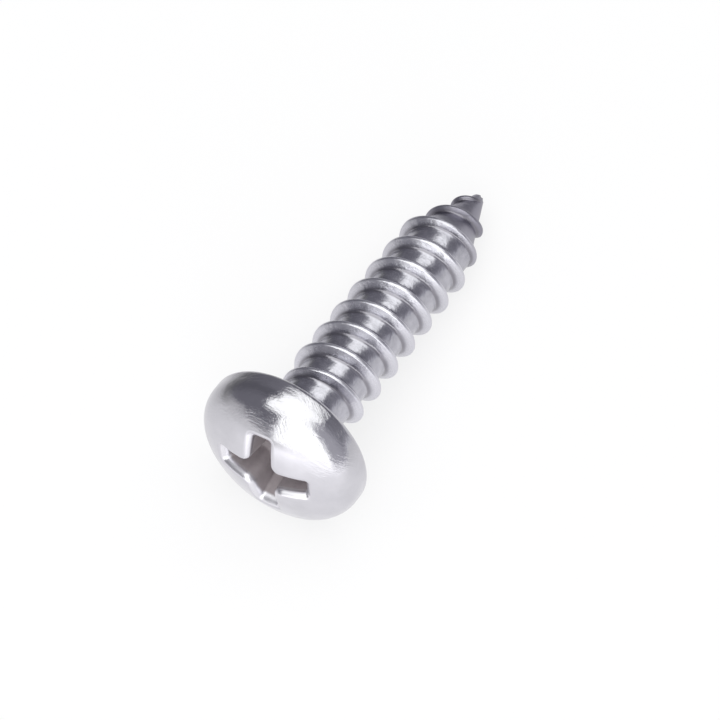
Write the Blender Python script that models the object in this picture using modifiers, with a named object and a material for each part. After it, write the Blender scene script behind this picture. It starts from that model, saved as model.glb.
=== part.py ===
"""Pan-head tapping screw for sheet metal, with a cross recess and a gimlet point.

The screw is one piece of steel. It is built as it is made: a turned blank with its head, a thread
rolled on the shank and point, and a recess punched in the crown. It lies on the floor as it comes to
rest, on the edge of its head and one thread crest, with the point towards +X.
"""

import math

import bmesh
import bpy
from mathutils import Matrix, Vector

MM = 0.001
TAU = 2 * math.pi

# Head, seen along its profile: crown arc, shoulder arc, upright side, rounded bearing edge.
HEAD_RADIUS = 4.0 * MM
HEAD_HEIGHT = 2.78 * MM
CROWN_RADIUS = 6.2 * MM
SHOULDER_RADIUS = 1.3 * MM
BEARING_EDGE_RADIUS = 0.3 * MM
# An odd count puts a flat, not a corner, at the bottom of the head, which is where it rests.
ROUND_SEGMENTS = 61

# Neck. Lengths are measured from the bearing face under the head towards the point.
NECK_RADIUS = 1.72 * MM
NECK_FILLET = 0.55 * MM
NECK_END = 0.85 * MM
NECK_RUNOUT_RADIUS = 1.3 * MM
NECK_RUNOUT_END = 1.2 * MM

# Shank core and point.
CORE_RADIUS = 1.55 * MM
CORE_ROOT = 0.4 * MM
LENGTH = 16.55 * MM
POINT_RADIUS = 0.32 * MM
POINT_CORE_ANGLE = math.radians(20.5)
# The shank stands a little to one side of the head's middle.
SHANK_OFFSET = 0.125 * MM

# Thread: a V with a narrow crest, right-handed, on the shank and down the point.
CREST_RADIUS = 2.07 * MM
CREST_TAPER = 0.008
PITCH = 1.49 * MM
CREST_WIDTH = 0.16 * MM
FLANK_ANGLE = math.radians(28)
THREAD_START = 1.25 * MM
THREAD_TURNS = 10
POINT_CONE_APEX = 18.03 * MM
POINT_CONE_ANGLE = math.radians(20.2)
START_FADE_TURNS = 1.2
END_FADE_TURNS = 0.45
THREAD_SEGMENTS = 48
# Where the crest stands round the axis at the bearing face, from the side that lies uppermost.
THREAD_PHASE = math.radians(243.1)

# Cross recess: four tapering wings round a deeper conical middle, with a rounded rim.
WING_REACH = 2.42 * MM
WING_END_WIDTH = 1.0 * MM
WING_ROOT_WIDTH = 1.12 * MM
WING_CORNER_RADIUS = 0.48 * MM
WING_DRAFT = math.radians(26)
WING_SIDE_DRAFT = math.radians(4)
RECESS_DEPTH = 1.95 * MM
RECESS_MIDDLE_DEPTH = 2.2 * MM
RIM_RADIUS = 0.27 * MM
RIM_CLEARANCE = 0.05 * MM
RIM_ANGLES = (math.radians(60), math.radians(30))
PUNCH_ABOVE = 0.5 * MM
RECESS_TURN = math.radians(10)

MERGE = 1e-7


def clear_scene():
    for obj in list(bpy.data.objects):
        bpy.data.objects.remove(obj)


def arc(centre, radius, start, end, steps):
    """Points (r, z) of an arc in the profile plane; angles are from the +r axis."""
    return [
        (
            centre[0] + radius * math.cos(start + (end - start) * i / steps),
            centre[1] + radius * math.sin(start + (end - start) * i / steps),
        )
        for i in range(steps + 1)
    ]


def head_profile():
    """The head's outer side from the crown's middle down to the transition under the head."""
    crown_centre = HEAD_HEIGHT - CROWN_RADIUS
    shoulder_r = HEAD_RADIUS - SHOULDER_RADIUS
    lean = math.asin(shoulder_r / (CROWN_RADIUS - SHOULDER_RADIUS))
    shoulder_z = crown_centre + (CROWN_RADIUS - SHOULDER_RADIUS) * math.cos(lean)
    tangent = math.pi / 2 - lean
    crown = arc((0, crown_centre), CROWN_RADIUS, math.pi / 2, tangent, 7)
    shoulder = arc((shoulder_r, shoulder_z), SHOULDER_RADIUS, tangent, 0, 7)
    edge_r = HEAD_RADIUS - BEARING_EDGE_RADIUS
    edge = arc((edge_r, BEARING_EDGE_RADIUS), BEARING_EDGE_RADIUS, 0, -math.pi / 2, 4)
    return crown + shoulder[1:] + edge


def neck_profile():
    """The fillet under the head and the neck, closed inside the shank that runs out of it."""
    fillet_centre = (NECK_RADIUS + NECK_FILLET, -NECK_FILLET)
    fillet = arc(fillet_centre, NECK_FILLET, math.pi / 2, math.pi, 4)
    runout = [(NECK_RUNOUT_RADIUS, -NECK_RUNOUT_END), (0, -NECK_RUNOUT_END)]
    return fillet + [(NECK_RADIUS, -NECK_END)] + runout


def blank(collection):
    """The head and neck: their profile turned round the screw's own axis."""
    points = head_profile() + neck_profile()
    points[0] = (0, points[0][1])
    mesh = bpy.data.meshes.new("screw")
    edges = [(i, i + 1) for i in range(len(points) - 1)]
    mesh.from_pydata([(r, 0, z) for r, z in points], edges, [])
    obj = bpy.data.objects.new("screw", mesh)
    collection.objects.link(obj)
    turned = obj.modifiers.new("turned", "SCREW")
    turned.steps = ROUND_SEGMENTS
    turned.render_steps = ROUND_SEGMENTS
    turned.use_merge_vertices = True
    turned.merge_threshold = MERGE
    return obj


def core_radius(s):
    """The core's radius at a distance s below the head: a cylinder, then the cone of the point."""
    cone = (LENGTH - POINT_RADIUS - s) * math.tan(POINT_CORE_ANGLE)
    return min(CORE_RADIUS, cone + POINT_RADIUS / math.cos(POINT_CORE_ANGLE))


def crest_radius(s):
    """The thread crest's radius at s: a slight taper, then the cone of the point."""
    return min(CREST_RADIUS - CREST_TAPER * s, (POINT_CONE_APEX - s) * math.tan(POINT_CONE_ANGLE))


def ease(t):
    t = max(0.0, min(1.0, t))
    return t * t * (3 - 2 * t)


def thread_section(turn):
    """The thread's section (r, s) at a turn from its start: foot, crest and foot."""
    s = THREAD_START + PITCH * turn
    share = ease(turn / START_FADE_TURNS) * ease((THREAD_TURNS - turn) / END_FADE_TURNS)
    height = max(0.0, crest_radius(s) - core_radius(s)) * share
    half_crest = CREST_WIDTH / 2
    half_foot = half_crest + height * math.tan(FLANK_ANGLE)
    return [
        (core_radius(s - half_foot), s - half_foot),
        (core_radius(s - half_crest) + height, s - half_crest),
        (core_radius(s + half_crest) + height, s + half_crest),
        (core_radius(s + half_foot), s + half_foot),
    ]


def threaded_shank(collection):
    """The core and its thread as one skin: a helical band whose turns share their root edges."""
    bm = bmesh.new()
    count = THREAD_SEGMENTS
    last = round(THREAD_TURNS * count)

    def vertex(i, r, s):
        angle = THREAD_PHASE - TAU * (THREAD_START / PITCH + i / count)
        return bm.verts.new((r * math.cos(angle), SHANK_OFFSET + r * math.sin(angle), -s))

    bands = [[vertex(i, r, s) for r, s in thread_section(i / count)] for i in range(last + 1)]
    for i in range(last):
        for j in range(3):
            bm.faces.new((bands[i][j], bands[i + 1][j], bands[i + 1][j + 1], bands[i][j + 1]))
    for i in range(last - count):
        root = (bands[i][3], bands[i + 1][3], bands[i + count + 1][0], bands[i + count][0])
        bm.faces.new(root)

    upper = [vertex(i, CORE_RADIUS, CORE_ROOT) for i in range(count)]
    bm.faces.new(upper)
    for i in range(count - 1):
        bm.faces.new((upper[i], upper[i + 1], bands[i + 1][0], bands[i][0]))
    seam = [upper[-1], upper[0]] + bands[0] + [bands[count][0], bands[count - 1][0]]
    bm.faces.new(seam)

    first = last - count
    rings = []
    for r, z in arc((0, 0), POINT_RADIUS, POINT_CORE_ANGLE, math.pi / 2, 4)[:-1]:
        rings.append([vertex(i, r, LENGTH - POINT_RADIUS + z) for i in range(first, last)])
    for a, b in zip(rings, rings[1:]):
        for i in range(count):
            j = (i + 1) % count
            bm.faces.new((a[i], a[j], b[j], b[i]))
    tip = vertex(0, 0, LENGTH)
    for i in range(count):
        bm.faces.new((rings[-1][i], rings[-1][(i + 1) % count], tip))
    lower = rings[0]
    for i in range(1, count):
        j = (i + 1) % count
        bm.faces.new((bands[first + i][3], bands[first + i + 1][3], lower[j], lower[i]))
    seam = [bands[first][3], bands[first + 1][3], lower[1], lower[0]] + bands[last][::-1]
    bm.faces.new(seam)

    bmesh.ops.recalc_face_normals(bm, faces=bm.faces)
    return linked_mesh(bm, "threaded_shank", collection)


def linked_mesh(bm, name, collection):
    """Turns the built faces into an object of the collection."""
    mesh = bpy.data.meshes.new(name)
    bm.to_mesh(mesh)
    bm.free()
    obj = bpy.data.objects.new(name, mesh)
    collection.objects.link(obj)
    return obj


def wing_corners(depth, grow=0.0):
    """The cross's outline at a depth below the crown's top, rounded where two wings meet."""
    draft = depth * math.tan(WING_SIDE_DRAFT)
    reach = WING_REACH - depth * math.tan(WING_DRAFT) + grow
    half_end = WING_END_WIDTH / 2 - draft + grow
    centre = WING_ROOT_WIDTH / 2 - draft + WING_CORNER_RADIUS
    between = arc((centre, centre), WING_CORNER_RADIUS - grow, 1.5 * math.pi, math.pi, 3)
    corners = []
    for i in range(4):
        turn = Matrix.Rotation(RECESS_TURN + i * math.pi / 2, 2)
        for corner in [(reach, -half_end), (reach, half_end)] + between:
            corners.append(turn @ Vector(corner))
    return corners


def flat_ring(depth, grow):
    return [(x, y, HEAD_HEIGHT - depth) for x, y in wing_corners(depth, grow)]


def crown_ring(below, grow):
    """The cross's outline at a distance below the crown, so that each corner has its own depth."""
    ring = []
    for k in range(len(wing_corners(0))):
        depth = below
        for _ in range(4):
            x, y = wing_corners(depth, grow)[k]
            depth = CROWN_RADIUS - math.sqrt(CROWN_RADIUS**2 - x * x - y * y) + below
        ring.append((x, y, HEAD_HEIGHT - depth))
    return ring


def recess(collection):
    """The punch that leaves the cross recess. It widens at the crown, which rounds the rim."""
    rings = [flat_ring(RECESS_DEPTH, 0.0), crown_ring(RIM_RADIUS, 0.0)]
    for angle in RIM_ANGLES:
        below, grow = RIM_RADIUS * (1 - math.cos(angle)), RIM_RADIUS * (1 - math.sin(angle))
        rings.append(crown_ring(below, grow))
    # The rim's last slope runs on a little above the crown.
    grow += (below + RIM_CLEARANCE) / math.tan(angle)
    rings += [crown_ring(-RIM_CLEARANCE, grow), flat_ring(-PUNCH_ABOVE, grow)]

    bm = bmesh.new()
    rings = [[bm.verts.new(point) for point in ring] for ring in rings]
    middle = bm.verts.new((0, 0, HEAD_HEIGHT - RECESS_MIDDLE_DEPTH))
    count = len(rings[0])
    for i in range(count):
        j = (i + 1) % count
        bm.faces.new((rings[0][i], rings[0][j], middle))
        for low, high in zip(rings, rings[1:]):
            bm.faces.new((high[i], high[j], low[j], low[i]))
    bm.faces.new(rings[-1])
    bmesh.ops.recalc_face_normals(bm, faces=bm.faces)
    return linked_mesh(bm, "recess_punch", collection)


def helper(obj, owner):
    """A shape that only adds to or cuts another is drawn as wires and isn't rendered."""
    obj.hide_render = True
    obj.display_type = "WIRE"
    obj.parent = owner


def boolean(obj, other, operation):
    modifier = obj.modifiers.new(other.name, "BOOLEAN")
    modifier.object = other
    modifier.operation = operation
    modifier.solver = "EXACT"


def rest_tilt():
    """The dip of the axis that brings the head's edge and the last full crest to the floor."""
    last_full = POINT_CONE_APEX - CREST_RADIUS / math.tan(POINT_CONE_ANGLE)
    underside = PITCH * (THREAD_PHASE - math.pi) / TAU
    contact = underside + PITCH * math.floor((last_full - underside) / PITCH)
    drop = HEAD_RADIUS - BEARING_EDGE_RADIUS - crest_radius(contact)
    span = contact + CREST_WIDTH / 2 + BEARING_EDGE_RADIUS
    return math.atan2(drop, span) + math.asin(BEARING_EDGE_RADIUS / math.hypot(drop, span))


def lay_down(screw):
    """Turns the axis from upright to head-to-point along +X and sets the screw on the floor."""
    turned = Matrix.Rotation(rest_tilt() - math.pi / 2, 4, "Y")
    screw.matrix_world = turned
    bpy.context.view_layer.update()
    solid = screw.evaluated_get(bpy.context.evaluated_depsgraph_get())
    corners = [screw.matrix_world @ vertex.co for vertex in solid.data.vertices]
    low = [min(corner[axis] for corner in corners) for axis in range(3)]
    high = [max(corner[axis] for corner in corners) for axis in range(3)]
    middle = Vector(((low[0] + high[0]) / 2, (low[1] + high[1]) / 2, low[2]))
    screw.matrix_world = Matrix.Translation(-middle) @ turned


def steel():
    material = bpy.data.materials.new("bright_steel")
    material.use_nodes = True
    shader = material.node_tree.nodes["Principled BSDF"]
    shader.inputs["Base Color"].default_value = (0.62, 0.61, 0.66, 1)
    shader.inputs["Metallic"].default_value = 1.0
    shader.inputs["Roughness"].default_value = 0.22
    return material


def main():
    clear_scene()
    parts = bpy.data.collections.new("sheet_metal_screw")
    helpers = bpy.data.collections.new("cutters")
    bpy.context.scene.collection.children.link(parts)
    bpy.context.scene.collection.children.link(helpers)
    screw = blank(parts)
    for other, operation in ((threaded_shank(helpers), "UNION"), (recess(helpers), "DIFFERENCE")):
        helper(other, screw)
        boolean(screw, other, operation)
    screw.data.materials.append(steel())
    lay_down(screw)


main()
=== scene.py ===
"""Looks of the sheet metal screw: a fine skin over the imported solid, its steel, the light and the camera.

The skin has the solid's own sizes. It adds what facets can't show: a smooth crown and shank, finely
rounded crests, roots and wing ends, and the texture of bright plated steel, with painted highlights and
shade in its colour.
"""

import math

import bmesh
import bpy
import numpy as np
from mathutils import Matrix, Vector


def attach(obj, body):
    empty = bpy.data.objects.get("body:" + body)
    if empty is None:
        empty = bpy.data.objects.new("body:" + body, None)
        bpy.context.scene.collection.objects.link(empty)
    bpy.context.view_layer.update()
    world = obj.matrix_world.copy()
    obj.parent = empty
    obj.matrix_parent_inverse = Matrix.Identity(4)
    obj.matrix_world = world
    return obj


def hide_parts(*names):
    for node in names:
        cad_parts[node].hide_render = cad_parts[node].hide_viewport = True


MM = 0.001
TAU = 2 * math.pi
QUARTER = math.pi / 2
# Keeps radii and divisors above zero.
TINY = 1e-4

# Head, in millimetres. The screw is built upright, crown up, with the bearing face at z = 0.
HEAD_RADIUS = 4.0
HEAD_HEIGHT = 2.78
CROWN_RADIUS = 6.2
SHOULDER_RADIUS = 1.3
BEARING_EDGE_RADIUS = 0.3
UNDERSIDE_INNER_RADIUS = 2.0
# Rings of points on its smooth stretches, and steps round its two rounded edges.
CROWN_RINGS = 14
SHOULDER_STEPS = 18
SIDE_RINGS = 2
BEARING_EDGE_STEPS = 8
UNDERSIDE_RINGS = 5
# How far out the turning marks begin to show, and over how much they come in.
MARKS_FROM = 2.4
MARKS_OVER = 0.8

# Cross recess.
WINGS = 4
WING_REACH = 2.42
WING_END_WIDTH = 1.0
WING_ROOT_WIDTH = 1.12
WING_CORNER_RADIUS = 0.48
WING_END_ROUNDING = 0.13
# The rounding takes at most this share of half a wing's end.
WING_END_MOST_ROUNDED = 0.8
WING_DRAFT = math.radians(26)
WING_SIDE_DRAFT = math.radians(4)
RECESS_DEPTH = 1.95
RECESS_MIDDLE_DEPTH = 2.2
RECESS_TURN = math.radians(10)
RIM_RADIUS = 0.27
BOTTOM_RINGS = 8
WALL_RINGS = 12
RECESS_RINGS = BOTTOM_RINGS + WALL_RINGS
RIM_RINGS = 7
# The outermost two rings of the rim look like the crown.
RIM_MARKED_RINGS = RIM_RINGS - 2
RIM_CORRECTIONS = 4

# Neck, core and point.
NECK_RADIUS = 1.72
NECK_FILLET = 0.55
NECK_END = 0.85
NECK_RUNOUT_END = 1.25
CORE_RADIUS = 1.55
LENGTH = 16.55
POINT_RADIUS = 0.32
POINT_CORE_ANGLE = math.radians(20.5)
# The shank stands a little to one side of the head's middle.
SHANK_OFFSET = 0.125
# How far down the steel begins to get darker and rougher towards the point, and over how much it does.
POINT_DULL_FROM = 12.0
POINT_DULL_OVER = 2.4

# Thread.
CREST_RADIUS = 2.07
CREST_TAPER = 0.008
PITCH = 1.49
CREST_WIDTH = 0.16
FLANK_ANGLE = math.radians(28)
THREAD_START = 1.25
THREAD_TURNS = 10
POINT_CONE_APEX = 18.03
POINT_CONE_ANGLE = math.radians(20.2)
START_FADE_TURNS = 1.2
END_FADE_TURNS = 0.45
THREAD_PHASE = math.radians(243.1)
CREST_ROUNDING = 0.1
ROOT_ROUNDING = 0.26
# Where the thread fades, a rounding takes at most this share of its height.
MOST_ROUNDED = 0.45
ROUNDING_STEPS = 5
ROOT_STEPS = 3
TURN_STEPS = 150

# Points closer than the first of these become one, and edges shorter than the second go, in metres.
WELD_DISTANCE = 2e-7
SHORTEST_EDGE = 1e-8

# Where the screw lies in the frame.
REST_TILT = math.radians(9.18614)
BEARING_CENTRE = Vector((-6.77337, 0.0, 3.90362)) * MM

# The camera, from the photograph's perspective.
CAMERA_PLACE = Vector((-0.062242, -0.03873, 0.137858))
CAMERA_TURN = (math.radians(28.0537), math.radians(0.0715), math.radians(-57.7481))
CAMERA_LENS = 169.45
SENSOR_WIDTH = 36.0
CLIP_START = 0.005

# The finish. Two colours or two roughnesses are the ends between which a noise moves.
PLATED = ((0.605, 0.598, 0.635, 1), (0.665, 0.658, 0.695, 1))
# Paler on the recess's rim: a painted highlight on its rounded edge.
RIM_HIGHLIGHT = (0.80, 0.79, 0.83, 1)
# Darker and brown-grey in the recess: painted shade, patchy by a noise.
RECESS_SHADE = ((0.33, 0.295, 0.31, 1), (0.39, 0.35, 0.365, 1))
ROOT = ((0.48, 0.475, 0.525, 1), (0.63, 0.625, 0.68, 1))
# Paler up the thread's flanks: a painted highlight on the raised thread.
FLANK_HIGHLIGHT = (0.75, 0.745, 0.80, 1)
# Darker towards the point.
POINT = (0.36, 0.35, 0.405, 1)
# A dark line at the flank's foot, where it meets the root: painted shade in that crease, and how strong it
# is.
FLANK_FOOT_SHADE = (0.25, 0.24, 0.27, 1)
FOOT_SHADE_SHARE = 0.8
PLATED_ROUGHNESS = (0.06, 0.11)
RIM_ROUGHNESS = 0.36
RECESS_ROUGHNESS = 0.6
ROOT_ROUGHNESS = (0.2, 0.26)
FLANK_ROUGHER = 0.08
POINT_ROUGHER = 0.1
RECESS_METALLIC = 0.35
# The stretch of a noise that is used, and a shorter one for the patchy painted shade in the recess.
NOISE_RANGE = (0.3, 0.7)
RECESS_SHADE_RANGE = (0.35, 0.65)
# Shares of the thread's height over which the flank's paler colour, a painted highlight, comes in, and over
# which the dark line at its foot, a painted shade, comes in and goes again.
FLANK_HIGHLIGHT_COMES = (0.2, 0.6)
FOOT_SHADE_COMES = (0.0, 0.04)
FOOT_SHADE_GOES = (0.12, 0.36)
# Scales of the noises: features to a metre, and for the turning marks, features to a radian round
# the head and to a millimetre along its profile.
CLOUDS = 900.0
PATCHES = 2600.0
GRAIN = 9000.0
TURNING_MARKS = 7.0
# The height of the turning marks in metres, and the rest of the relief as shares of it.
RELIEF = 0.000018
GRAIN_RELIEF = 0.08
ROLLING_RELIEF = 1.2

WHITE = (1.0, 1.0, 1.0, 1.0)

# The studio. Angles are in degrees, azimuths from +X, lengths in metres, brightness as a share of white.
DOME_RADIUS = 0.6
DOME_STEP = 2
WINDOW_FROM = 167
WINDOW_TO = 227
WINDOW_SOFT = 5
WINDOW_LIGHT = 1.9
TOP_LIGHT = 1.6
TOP_SOFT = 8
# Grey cards stand round the rest: azimuth, grey, and the height of their upper edge.
CARDS = (
    (5, 0.22, 42),
    (32, 0.22, 52),
    (75, 0.13, 68),
    (110, 0.20, 56),
    (150, 0.20, 37),
    (245, 0.50, 57),
    (270, 0.49, 66),
    (300, 0.25, 49),
    (335, 0.17, 39),
)
# Low down on one side the cards let the bright floor run on: azimuth, half its width, light, height.
SWEEP = (312, 40, 0.75, 15)
# The tint of the dome's light where it is dark, and where it is white.
DARK_TINT = np.array((1.0, 0.98, 1.16))
WHITE_TINT = np.array((1.0, 1.01, 0.99))
FRONT_AZIMUTH = 199
FRONT_DISTANCE = 0.46
FRONT_HEIGHT = 0.26
FRONT_SIZE = (0.56, 0.5)
FRONT_RADIANCE = 1.8
TOP_CENTRE = Vector((0.0, -0.02, 0.52))
TOP_SIZE = (1.0, 0.64)
TOP_RADIANCE = 1.5
SKY_LIGHT = 0.3
FLOOR_SIZE = 6.0
FLOOR_COLOUR = (0.93, 0.93, 0.94, 1)
FLOOR_ROUGHNESS = 0.9
FLOOR_SEEN_SHARE = 0.75
FLOOR_MIRRORED_SHARE = 0.8
FLOOR_MIRRORED_COLOUR = (1.0, 0.995, 1.01, 1)
# The floor, as the metal mirrors it, changes along three directions: azimuth, where the change
# starts and ends, and how much light it brings.
FLOOR_CHANGES = (
    (180, -0.02, 0.07, 1.15),
    (270, -0.034, 0.002, 0.7),
    (120, 0.02, 0.06, -0.45),
)


def arc(centre, radius, start, end, steps):
    """Points (x, y) of an arc with both its ends."""
    turn = np.linspace(start, end, steps + 1)
    return list(zip(centre[0] + radius * np.cos(turn), centre[1] + radius * np.sin(turn)))


def crown_sag(r):
    """How far the crown has dropped at a distance r from its middle."""
    return CROWN_RADIUS - np.sqrt(CROWN_RADIUS**2 - np.minimum(r, CROWN_RADIUS) ** 2)


def ease(t):
    """A smooth step from 0 to 1 as t goes from 0 to 1."""
    t = np.clip(t, 0.0, 1.0)
    return t * t * (3 - 2 * t)


# The stretches of the recess's outline go anticlockwise from the right-hand corner of a wing's end,
# seen from the middle. Each has a kind, a number of points, and for a corner the side that it is on.
KINDS = range(5)
CORNER, END, SIDE_IN, INNER, SIDE_OUT = KINDS
STRETCHES = (
    (CORNER, 5, -1),
    (END, 8, 0),
    (CORNER, 5, 1),
    (SIDE_IN, 12, 0),
    (INNER, 9, 0),
    (SIDE_OUT, 12, 0),
)


def outline_template():
    """For each point of the recess's outline: wing, kind of stretch, side, and share of the stretch."""
    quarter = [(kind, side, i / steps) for kind, steps, side in STRETCHES for i in range(steps)]
    rows = [(wing, kind, side, t) for wing in range(WINGS) for kind, side, t in quarter]
    return np.array(rows, dtype=float).T


def recess_outline(grow, depth):
    """Points (x, y) of the cross's outline, grown outwards, each at its own depth below the crown's top."""
    wing, kind, side, t = outline_template()
    draft = depth * math.tan(WING_SIDE_DRAFT)
    reach = WING_REACH - depth * math.tan(WING_DRAFT) + grow
    half_end = WING_END_WIDTH / 2 - draft + grow
    half_root = WING_ROOT_WIDTH / 2 - draft + grow
    inner = WING_CORNER_RADIUS - grow
    centre = half_root + inner
    rounding = np.minimum(WING_END_ROUNDING + grow, WING_END_MOST_ROUNDED * half_end)
    corner_x, corner_y = reach - rounding, half_end - rounding
    corner_turn = np.where(side < 0, -QUARTER, 0) + t * QUARTER
    inner_turn = (3 - t) * QUARTER

    stretches = [kind == each for each in KINDS]
    x = np.select(stretches, [
        corner_x + rounding * np.cos(corner_turn),
        reach,
        corner_x + (centre - corner_x) * t,
        centre + inner * np.cos(inner_turn),
        half_root + (half_end - half_root) * t,
    ])
    y = np.select(stretches, [
        side * corner_y + rounding * np.sin(corner_turn),
        corner_y * (2 * t - 1),
        half_end + (half_root - half_end) * t,
        centre + inner * np.sin(inner_turn),
        centre + (corner_x - centre) * t,
    ])
    turn = RECESS_TURN + wing * QUARTER
    return x * np.cos(turn) - y * np.sin(turn), x * np.sin(turn) + y * np.cos(turn)


def recess_rim():
    """The rim's outer edge on the crown and the crown's sag there, found by a few corrections."""
    sag = np.zeros(outline_template().shape[1])
    for _ in range(RIM_CORRECTIONS):
        x, y = recess_outline(RIM_RADIUS, sag)
        sag = crown_sag(np.hypot(x, y))
    return x, y, sag


def recess_rings(sag):
    """Rings of the recess: its bottom from the middle out, its wall upwards, and its rounded rim."""
    count = len(sag)
    rings = []
    bottom_x, bottom_y = recess_outline(0, np.full(count, RECESS_DEPTH))
    for t in np.linspace(1, 0, BOTTOM_RINGS + 1)[:-1]:
        depth = RECESS_DEPTH + (RECESS_MIDDLE_DEPTH - RECESS_DEPTH) * t
        rings.append((bottom_x * (1 - t), bottom_y * (1 - t), np.full(count, HEAD_HEIGHT - depth)))
    for t in np.linspace(1, 0, WALL_RINGS + 1)[:-1]:
        depth = sag + RIM_RADIUS + (RECESS_DEPTH - sag - RIM_RADIUS) * t
        x, y = recess_outline(0, depth)
        rings.append((x, y, HEAD_HEIGHT - depth))
    for t in np.linspace(QUARTER, 0, RIM_RINGS):
        grow, down = RIM_RADIUS * (1 - math.sin(t)), RIM_RADIUS * (1 - math.cos(t))
        x, y = recess_outline(grow, sag + down)
        rings.append((x, y, HEAD_HEIGHT - sag - down))
    return rings


def edge_profile():
    """The head's profile (r, z) from the crown's edge on: shoulder, side, bearing edge, bearing face."""
    shoulder_r = HEAD_RADIUS - SHOULDER_RADIUS
    lean = math.asin(shoulder_r / (CROWN_RADIUS - SHOULDER_RADIUS))
    shoulder_z = HEAD_HEIGHT - CROWN_RADIUS + (CROWN_RADIUS - SHOULDER_RADIUS) * math.cos(lean)
    edge_r = HEAD_RADIUS - BEARING_EDGE_RADIUS
    side = np.linspace(shoulder_z, BEARING_EDGE_RADIUS, SIDE_RINGS + 2)[1:-1]
    underside = np.linspace(edge_r, UNDERSIDE_INNER_RADIUS, UNDERSIDE_RINGS + 1)[1:]
    profile = arc((shoulder_r, shoulder_z), SHOULDER_RADIUS, QUARTER - lean, 0, SHOULDER_STEPS)
    profile += [(HEAD_RADIUS, z) for z in side]
    profile += arc((edge_r, BEARING_EDGE_RADIUS), BEARING_EDGE_RADIUS, 0, -QUARTER, BEARING_EDGE_STEPS)
    return profile + [(r, 0.0) for r in underside]


def head_rings():
    """Rings of the head from the recess's middle out over the crown and down to the bearing face."""
    rim_x, rim_y, sag = recess_rim()
    rim_r = np.hypot(rim_x, rim_y)
    turn = np.arctan2(rim_y, rim_x)
    profile = edge_profile()
    crown_edge = profile[0][0]
    rings = recess_rings(sag)
    for t in np.linspace(0, 1, CROWN_RINGS + 1)[1:]:
        r = rim_r + (crown_edge - rim_r) * t
        rings.append((r * np.cos(turn), r * np.sin(turn), HEAD_HEIGHT - crown_sag(r)))
    for r, z in profile[1:]:
        rings.append((r * np.cos(turn), r * np.sin(turn), np.full(len(turn), z)))
    return np.array([np.stack(ring, axis=1) for ring in rings])


def core_radius(s):
    """The radius without the thread at a distance s below the head: fillet, neck, core, point."""
    low = np.clip(s, 0.0, NECK_FILLET)
    fillet = NECK_RADIUS + NECK_FILLET - np.sqrt(NECK_FILLET**2 - (NECK_FILLET - low) ** 2)
    runout = ease((s - NECK_END) / (NECK_RUNOUT_END - NECK_END))
    shank = fillet + (CORE_RADIUS - NECK_RADIUS) * runout
    centre = LENGTH - POINT_RADIUS
    cone = (centre - s) * math.tan(POINT_CORE_ANGLE) + POINT_RADIUS / math.cos(POINT_CORE_ANGLE)
    ball = np.sqrt(np.maximum(POINT_RADIUS**2 - np.maximum(s - centre, 0) ** 2, 0))
    on_ball = s > centre + POINT_RADIUS * math.sin(POINT_CORE_ANGLE)
    return np.minimum(shank, np.where(on_ball, ball, cone))


def crest_radius(s):
    """The radius of the thread's crest at a distance s below the head: cylinder, then point."""
    return min(CREST_RADIUS - CREST_TAPER * s, (POINT_CONE_APEX - s) * math.tan(POINT_CONE_ANGLE))


def thread_half(height):
    """One half of the thread's section from the crest's middle: (distance along the axis, height)."""
    half_crest = CREST_WIDTH / 2
    foot = half_crest + height * math.tan(FLANK_ANGLE)
    bend = (QUARTER - FLANK_ANGLE) / 2
    most = MOST_ROUNDED * height + TINY
    crest_r, root_r = min(CREST_ROUNDING, most), min(ROOT_ROUNDING, most)
    crest_t, root_t = crest_r * math.tan(bend), root_r * math.tan(bend)
    points = [(0.0, height)]
    for t in np.linspace(0, 2 * bend, ROUNDING_STEPS + 1):
        points.append((half_crest - crest_t + crest_r * math.sin(t), height - crest_r * (1 - math.cos(t))))
    for t in np.linspace(2 * bend, 0, ROUNDING_STEPS + 1):
        points.append((foot + root_t - root_r * math.sin(t), root_r * (1 - math.cos(t))))
    flat = np.linspace(foot + root_t, PITCH / 2, ROOT_STEPS + 1)[1:]
    return points + [(x, 0.0) for x in flat]


def shank_rows():
    """The helical skin of neck, shank and point, and how far up the thread each point is, from 0 to 1.
    Row i + TURN_STEPS starts where row i ends."""
    before = math.ceil((THREAD_START + PITCH / 2) / PITCH)
    until = math.ceil((LENGTH + PITCH / 2 - THREAD_START) / PITCH)
    rows, heights = [], []
    for i in range(-before * TURN_STEPS, until * TURN_STEPS + 1):
        turn = i / TURN_STEPS
        s = THREAD_START + PITCH * turn
        share = ease(turn / START_FADE_TURNS) * ease((THREAD_TURNS - turn) / END_FADE_TURNS)
        height = float(max(0.0, crest_radius(s) - core_radius(s)) * share)
        half = thread_half(height)
        along = np.array([-x for x, _ in reversed(half)] + [x for x, _ in half[1:]]) + s
        lift = np.array([h for _, h in reversed(half)] + [h for _, h in half[1:]])
        inside = np.clip(along, 0.0, LENGTH)
        r = core_radius(inside) + lift
        angle = THREAD_PHASE - TAU * s / PITCH
        aside = SHANK_OFFSET * ease(inside / NECK_END)
        rows.append(np.stack([r * math.cos(angle), aside + r * math.sin(angle), -inside], axis=1))
        heights.append(lift / (CREST_RADIUS - CORE_RADIUS))
    return np.array(rows), np.array(heights)


def grid_faces(rows, columns, start=0, wrap=False):
    """Quads of a grid of points, closed on itself sideways if it wraps."""
    across = columns if wrap else columns - 1
    i, j = np.meshgrid(np.arange(rows - 1), np.arange(across), indexing="ij")
    k = (j + 1) % columns
    here, beyond = i * columns, (i + 1) * columns
    return np.stack([here + j, here + k, beyond + k, beyond + j], axis=-1).reshape(-1, 4) + start


def turned_lay(head):
    """Where each point of the head is on its turned surface: round the axis, and along the profile."""
    steps = np.linalg.norm(np.diff(head, axis=0), axis=2)
    along = np.concatenate([np.zeros((1, head.shape[1])), np.cumsum(steps, axis=0)])
    r = np.maximum(np.hypot(head[:, :, 0], head[:, :, 1]), TINY)
    return np.stack([head[:, :, 0] / r, head[:, :, 1] / r, along], axis=2)


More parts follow.
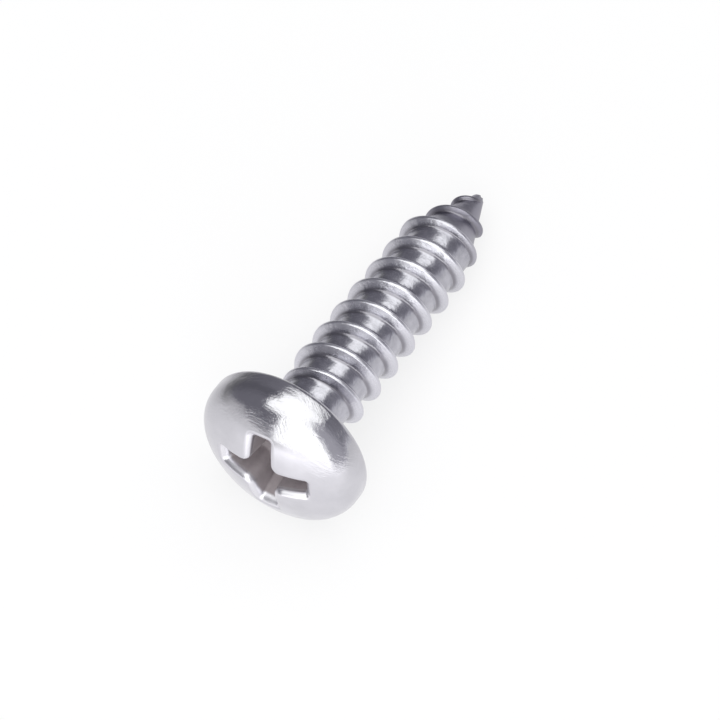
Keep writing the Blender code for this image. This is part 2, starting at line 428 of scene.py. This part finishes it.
def mark_zones(mesh, head, shank, heights):
    """Attributes that tell the material where it is. The head's points come first, ring by ring."""
    across = head.shape[1]
    on_head = head.shape[0] * across
    count = on_head + heights.size
    zones = {name: np.zeros(count) for name in ("recess", "rim", "thread", "flank", "shoulder", "point")}
    zones["recess"][: RECESS_RINGS * across] = 1
    zones["rim"][RECESS_RINGS * across : (RECESS_RINGS + RIM_MARKED_RINGS) * across] = 1
    zones["thread"][on_head:] = 1
    zones["flank"][on_head:] = heights.ravel()
    radius = np.hypot(head[:, :, 0], head[:, :, 1]).ravel()
    zones["shoulder"][:on_head] = ease((radius - MARKS_FROM) / MARKS_OVER)
    zones["point"][on_head:] = ease((-shank[:, :, 2].ravel() - POINT_DULL_FROM) / POINT_DULL_OVER)
    for name, values in zones.items():
        attribute = mesh.attributes.new(name, "FLOAT", "POINT")
        attribute.data.foreach_set("value", values.astype(np.float32))
    lay = np.zeros((count, 3), dtype=np.float32)
    lay[:on_head] = turned_lay(head).reshape(-1, 3)
    mesh.attributes.new("lay", "FLOAT_VECTOR", "POINT").data.foreach_set("vector", lay.ravel())


def weld(mesh):
    """Closes the skin where its ends and the turns of the thread share points, and drops empty faces."""
    bm = bmesh.new()
    bm.from_mesh(mesh)
    bmesh.ops.remove_doubles(bm, verts=bm.verts, dist=WELD_DISTANCE)
    bmesh.ops.dissolve_degenerate(bm, edges=bm.edges, dist=SHORTEST_EDGE)
    bmesh.ops.recalc_face_normals(bm, faces=bm.faces)
    bm.to_mesh(mesh)
    bm.free()


def placed(name, data):
    """A new object in the scene."""
    obj = bpy.data.objects.new(name, data)
    bpy.context.scene.collection.objects.link(obj)
    return obj


def build_screw(material):
    """The screw's skin, marked for its material, welded, and laid down as it rests."""
    head = head_rings()
    shank, heights = shank_rows()
    points = np.concatenate([head.reshape(-1, 3), shank.reshape(-1, 3)])
    faces = np.concatenate([
        grid_faces(*head.shape[:2], wrap=True),
        grid_faces(*shank.shape[:2], start=head.shape[0] * head.shape[1]),
    ])
    mesh = bpy.data.meshes.new("screw_steel")
    mesh.from_pydata((points * MM).tolist(), [], faces.tolist())
    mesh.update()
    mark_zones(mesh, head, shank, heights)
    weld(mesh)
    mesh.polygons.foreach_set("use_smooth", [True] * len(mesh.polygons))
    mesh.materials.append(material)
    mesh.transform(Matrix.Translation(BEARING_CENTRE) @ Matrix.Rotation(REST_TILT - QUARTER, 4, "Y"))
    return placed("screw_steel", mesh)


def node(tree, kind, **inputs):
    """A new node with some of its inputs set."""
    new = tree.nodes.new(kind)
    for name, value in inputs.items():
        new.inputs[name.replace("_", " ")].default_value = value
    return new


def feed(tree, socket, value):
    """Gives a socket its value: a number, a colour or another node's output."""
    if isinstance(value, bpy.types.NodeSocket):
        tree.links.new(value, socket)
    else:
        socket.default_value = value


def mixed(tree, share, low, high, kind="FLOAT"):
    """A Mix node between two numbers, or between two colours if the kind is RGBA."""
    mix = tree.nodes.new("ShaderNodeMix")
    mix.data_type = kind
    first, second, result = {"FLOAT": (2, 3, 0), "RGBA": (6, 7, 2)}[kind]
    for place, value in ((0, share), (first, low), (second, high)):
        feed(tree, mix.inputs[place], value)
    return mix.outputs[result]


def toned(tree, share, low, high):
    """A Mix node between two colours."""
    return mixed(tree, share, low, high, "RGBA")


def combined(tree, operation, first, second):
    """A Math node on two numbers."""
    found = tree.nodes.new("ShaderNodeMath")
    found.operation = operation
    for socket, value in zip(found.inputs, (first, second)):
        feed(tree, socket, value)
    return found.outputs["Value"]


def noise(tree, vector, scale, detail=3.0, roughness=0.55):
    texture = node(tree, "ShaderNodeTexNoise", Scale=scale, Detail=detail, Roughness=roughness)
    tree.links.new(vector, texture.inputs["Vector"])
    return texture.outputs["Fac"]


def marked(tree, name, output="Fac"):
    """One of the attributes that mark_zones gives the mesh."""
    found = tree.nodes.new("ShaderNodeAttribute")
    found.attribute_name = name
    return found.outputs[output]


def spread(tree, value, low, high, to_low=0.0, to_high=1.0):
    """A Map Range node, from low and high to two other numbers and not past them."""
    found = node(tree, "ShaderNodeMapRange", From_Min=low, From_Max=high, To_Min=to_low, To_Max=to_high)
    tree.links.new(value, found.inputs["Value"])
    return found.outputs["Result"]


def steel_colour(tree, clouds, patches):
    """Plated on the head, with the recess's rim painted paler as a painted highlight. Patchy on the rolled
    thread, painted paler up its flanks as a painted highlight, with painted shade at the flanks' foot, and
    darker towards the point. Darker, brown-grey and patchy in the recess, as painted shade.
    """
    plated = toned(tree, spread(tree, clouds, *NOISE_RANGE), *PLATED)
    # The recess's rim is painted paler: a painted highlight.
    plated = toned(tree, marked(tree, "rim"), plated, RIM_HIGHLIGHT)
    flank = marked(tree, "flank")
    rolled = toned(tree, spread(tree, patches, *NOISE_RANGE), *ROOT)
    # Paler up the flanks: a painted highlight.
    rolled = toned(tree, spread(tree, flank, *FLANK_HIGHLIGHT_COMES), rolled, FLANK_HIGHLIGHT)
    rolled = toned(tree, marked(tree, "point"), rolled, POINT)
    # A dark line at the foot of the flanks: painted shade.
    comes = spread(tree, flank, *FOOT_SHADE_COMES)
    goes = spread(tree, flank, *FOOT_SHADE_GOES, FOOT_SHADE_SHARE, 0.0)
    rolled = toned(tree, combined(tree, "MULTIPLY", comes, goes), rolled, FLANK_FOOT_SHADE)
    outside = toned(tree, marked(tree, "thread"), plated, rolled)
    # Darker in the recess: painted shade, patchy by a noise.
    shaded_recess = toned(tree, spread(tree, patches, *RECESS_SHADE_RANGE), *RECESS_SHADE)
    return toned(tree, marked(tree, "recess"), outside, shaded_recess)


def steel_roughness(tree, clouds, patches):
    """Mirror-like on the head, rougher on the thread, the point and the rim, and dull in the recess."""
    plated = spread(tree, clouds, *NOISE_RANGE, *PLATED_ROUGHNESS)
    plated = mixed(tree, marked(tree, "rim"), plated, RIM_ROUGHNESS)
    rolled = spread(tree, patches, *NOISE_RANGE, *ROOT_ROUGHNESS)
    for zone, rougher in (("flank", FLANK_ROUGHER), ("point", POINT_ROUGHER)):
        rolled = combined(tree, "ADD", rolled, spread(tree, marked(tree, zone), 0.0, 1.0, 0.0, rougher))
    outside = mixed(tree, marked(tree, "thread"), plated, rolled)
    return mixed(tree, marked(tree, "recess"), outside, RECESS_ROUGHNESS)


def steel_relief(tree, patches, grain):
    """Fine grain everywhere, turning marks on the shoulder, and shallow rolling marks on the shank."""
    turned = noise(tree, marked(tree, "lay", "Vector"), TURNING_MARKS, detail=4.0, roughness=0.7)
    turned = combined(tree, "MULTIPLY", turned, marked(tree, "shoulder"))
    rolled = combined(tree, "MULTIPLY", patches, ROLLING_RELIEF)
    rolled = combined(tree, "MULTIPLY", rolled, marked(tree, "thread"))
    fine = combined(tree, "MULTIPLY", grain, GRAIN_RELIEF)
    bump = node(tree, "ShaderNodeBump", Strength=1.0, Distance=RELIEF)
    height = combined(tree, "ADD", fine, combined(tree, "ADD", turned, rolled))
    tree.links.new(height, bump.inputs["Height"])
    return bump.outputs["Normal"]


def steel():
    """Bright plated steel, whose finish changes with the zones of the mesh and with noises. Its colour
    also holds painted highlights and painted shade.
    """
    material = bpy.data.materials.new("bright_steel")
    material.use_nodes = True
    tree = material.node_tree
    shader = tree.nodes["Principled BSDF"]
    place = tree.nodes.new("ShaderNodeTexCoord").outputs["Object"]
    clouds = noise(tree, place, CLOUDS)
    patches = noise(tree, place, PATCHES)
    grain = noise(tree, place, GRAIN, detail=4.0)
    for name, value in (
        ("Base Color", steel_colour(tree, clouds, patches)),
        ("Metallic", mixed(tree, marked(tree, "recess"), 1.0, RECESS_METALLIC)),
        ("Roughness", steel_roughness(tree, clouds, patches)),
        ("Normal", steel_relief(tree, patches, grain)),
    ):
        tree.links.new(value, shader.inputs[name])
    return material


def direction(azimuth, elevation=0.0):
    """The unit vector of an azimuth and an elevation in degrees."""
    a, e = math.radians(azimuth), math.radians(elevation)
    return Vector((math.cos(e) * math.cos(a), math.cos(e) * math.sin(a), math.sin(e)))


def floor_as_mirrored(tree):
    """The light of the floor as the metal mirrors it: bright towards the front, dim behind the screw."""
    place = tree.nodes.new("ShaderNodeNewGeometry").outputs["Position"]
    light = 0.0
    for azimuth, start, end, gain in FLOOR_CHANGES:
        along = tree.nodes.new("ShaderNodeVectorMath")
        along.operation = "DOT_PRODUCT"
        along.inputs[1].default_value = direction(azimuth)
        tree.links.new(place, along.inputs[0])
        change = node(tree, "ShaderNodeMapRange", From_Min=start, From_Max=end, To_Max=gain)
        change.interpolation_type = "SMOOTHSTEP"
        tree.links.new(along.outputs["Value"], change.inputs["Value"])
        light = combined(tree, "ADD", change.outputs["Result"], light)
    return combined(tree, "MAXIMUM", light, 0.0)


def floor_material():
    """Pale floor. Seen directly it is lifted to white and keeps its shadow."""
    material = bpy.data.materials.new("floor")
    material.use_nodes = True
    tree = material.node_tree
    shader = tree.nodes["Principled BSDF"]
    shader.inputs["Base Color"].default_value = FLOOR_COLOUR
    shader.inputs["Roughness"].default_value = FLOOR_ROUGHNESS
    shader.inputs["Specular IOR Level"].default_value = 0.0
    seen = node(tree, "ShaderNodeEmission", Color=WHITE, Strength=1.0)
    mirrored = node(tree, "ShaderNodeEmission", Color=FLOOR_MIRRORED_COLOUR)
    tree.links.new(floor_as_mirrored(tree), mirrored.inputs["Strength"])
    path = tree.nodes.new("ShaderNodeLightPath").outputs
    surface = shader.outputs["BSDF"]
    for ray, share, glow in (
        ("Is Camera Ray", FLOOR_SEEN_SHARE, seen),
        ("Is Glossy Ray", FLOOR_MIRRORED_SHARE, mirrored),
    ):
        mix = tree.nodes.new("ShaderNodeMixShader")
        tree.links.new(combined(tree, "MULTIPLY", path[ray], share), mix.inputs["Fac"])
        tree.links.new(surface, mix.inputs[1])
        tree.links.new(glow.outputs["Emission"], mix.inputs[2])
        surface = mix.outputs["Shader"]
    tree.links.new(surface, tree.nodes["Material Output"].inputs["Surface"])
    return material


def build_floor():
    half = FLOOR_SIZE / 2
    corners = [(-half, -half, 0), (half, -half, 0), (half, half, 0), (-half, half, 0)]
    mesh = bpy.data.meshes.new("floor")
    mesh.from_pydata(corners, [], [(0, 1, 2, 3)])
    mesh.materials.append(floor_material())
    placed("floor", mesh)


def card_at(azimuth):
    """The grey and the upper edge of the cards at an azimuth, eased from one card to the next."""
    before = ((CARDS[-1][0] - 360,) + CARDS[-1][1:],) + CARDS
    after = CARDS + ((CARDS[0][0] + 360,) + CARDS[0][1:],)
    for low, high in zip(before, after):
        if low[0] <= azimuth <= high[0]:
            share = ease((azimuth - low[0]) / (high[0] - low[0]))
            return low[1] + (high[1] - low[1]) * share, low[2] + (high[2] - low[2]) * share


def dome_light(azimuth, elevation):
    """How bright the studio is in a direction: cards, the open front between them, and the top."""
    grey, edge = card_at(azimuth)
    middle, half, foot, height = SWEEP
    grey += (foot - grey) * ease(2 - 2 * abs(azimuth - middle) / half) * ease(1 - elevation / height)
    inside = min(azimuth - WINDOW_FROM, WINDOW_TO - azimuth)
    light = grey + (WINDOW_LIGHT - grey) * ease(inside / WINDOW_SOFT + 0.5)
    return light + (TOP_LIGHT - light) * ease((elevation - edge) / TOP_SOFT + 0.5)


def dome_shade(azimuth, elevation):
    """The dome's colour in a direction, cooler where it is dark."""
    light = float(dome_light(azimuth, elevation))
    tint = DARK_TINT + (WHITE_TINT - DARK_TINT) * min(light, 1.0)
    return *(light * tint), 1.0


def dome_material():
    material = bpy.data.materials.new("dome")
    material.use_nodes = True
    tree = material.node_tree
    tree.nodes.remove(tree.nodes["Principled BSDF"])
    painted = tree.nodes.new("ShaderNodeVertexColor")
    painted.layer_name = "light"
    glow = node(tree, "ShaderNodeEmission", Strength=1.0)
    tree.links.new(painted.outputs["Color"], glow.inputs["Color"])
    tree.links.new(glow.outputs["Emission"], tree.nodes["Material Output"].inputs["Surface"])
    return material


def build_dome():
    """The studio as the metal mirrors it. Nothing else sees it, so it lights and shades nothing."""
    turns, rises = np.arange(0, 360 + DOME_STEP, DOME_STEP), np.arange(0, 90 + DOME_STEP, DOME_STEP)
    ways = [(turn, rise) for turn in turns for rise in rises]
    points = [direction(*way) * DOME_RADIUS for way in ways]
    shades = np.array([dome_shade(*way) for way in ways], dtype=np.float32)
    mesh = bpy.data.meshes.new("dome")
    mesh.from_pydata(points, [], grid_faces(len(turns), len(rises)).tolist())
    mesh.color_attributes.new("light", "FLOAT_COLOR", "POINT").data.foreach_set("color", shades.ravel())
    mesh.materials.append(dome_material())
    dome = placed("dome", mesh)
    dome.visible_camera = dome.visible_diffuse = dome.visible_shadow = False


def lamp(name, centre, size, facing, radiance):
    """A softbox for the floor and the dull parts. Its power is set from how bright its face is, where
    1 is white. The metal mirrors the dome instead."""
    light = bpy.data.lights.new(name, "AREA")
    light.shape = "RECTANGLE"
    light.size, light.size_y = size
    light.energy = radiance * math.pi * size[0] * size[1]
    box = placed(name, light)
    box.location = centre
    box.rotation_euler = (-Vector(facing)).to_track_quat("Z", "Y").to_euler()
    box.visible_glossy = False


def sky():
    """White where it is seen or mirrored, and weaker where it only lights the scene."""
    world = bpy.data.worlds.new("studio")
    world.use_nodes = True
    tree = world.node_tree
    back = tree.nodes["Background"]
    back.inputs["Color"].default_value = WHITE
    path = tree.nodes.new("ShaderNodeLightPath").outputs
    seen = combined(tree, "MAXIMUM", path["Is Camera Ray"], path["Is Glossy Ray"])
    seen = combined(tree, "MAXIMUM", seen, path["Is Transmission Ray"])
    tree.links.new(spread(tree, seen, 0.0, 1.0, SKY_LIGHT, 1.0), back.inputs["Strength"])
    bpy.context.scene.world = world


def studio():
    build_floor()
    build_dome()
    front = direction(FRONT_AZIMUTH)
    front_centre = front * FRONT_DISTANCE + Vector((0, 0, FRONT_HEIGHT))
    lamp("softbox_front", front_centre, FRONT_SIZE, -front, FRONT_RADIANCE)
    lamp("softbox_top", TOP_CENTRE, TOP_SIZE, (0, 0, -1), TOP_RADIANCE)
    sky()


def camera():
    data = bpy.data.cameras.new("camera")
    data.lens = CAMERA_LENS
    data.sensor_width = SENSOR_WIDTH
    data.clip_start = CLIP_START
    obj = placed("camera", data)
    obj.location = CAMERA_PLACE
    obj.rotation_euler = CAMERA_TURN
    bpy.context.scene.camera = obj


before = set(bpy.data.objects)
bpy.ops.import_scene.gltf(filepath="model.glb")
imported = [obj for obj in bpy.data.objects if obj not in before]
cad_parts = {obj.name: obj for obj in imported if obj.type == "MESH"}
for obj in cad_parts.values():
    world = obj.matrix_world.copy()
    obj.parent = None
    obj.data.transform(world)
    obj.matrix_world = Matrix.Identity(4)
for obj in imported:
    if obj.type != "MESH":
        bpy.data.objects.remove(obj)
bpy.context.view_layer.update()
screw = build_screw(steel())
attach(screw, "root")
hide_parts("screw")
studio()
camera()
bpy.context.scene.view_settings.view_transform = "Standard"
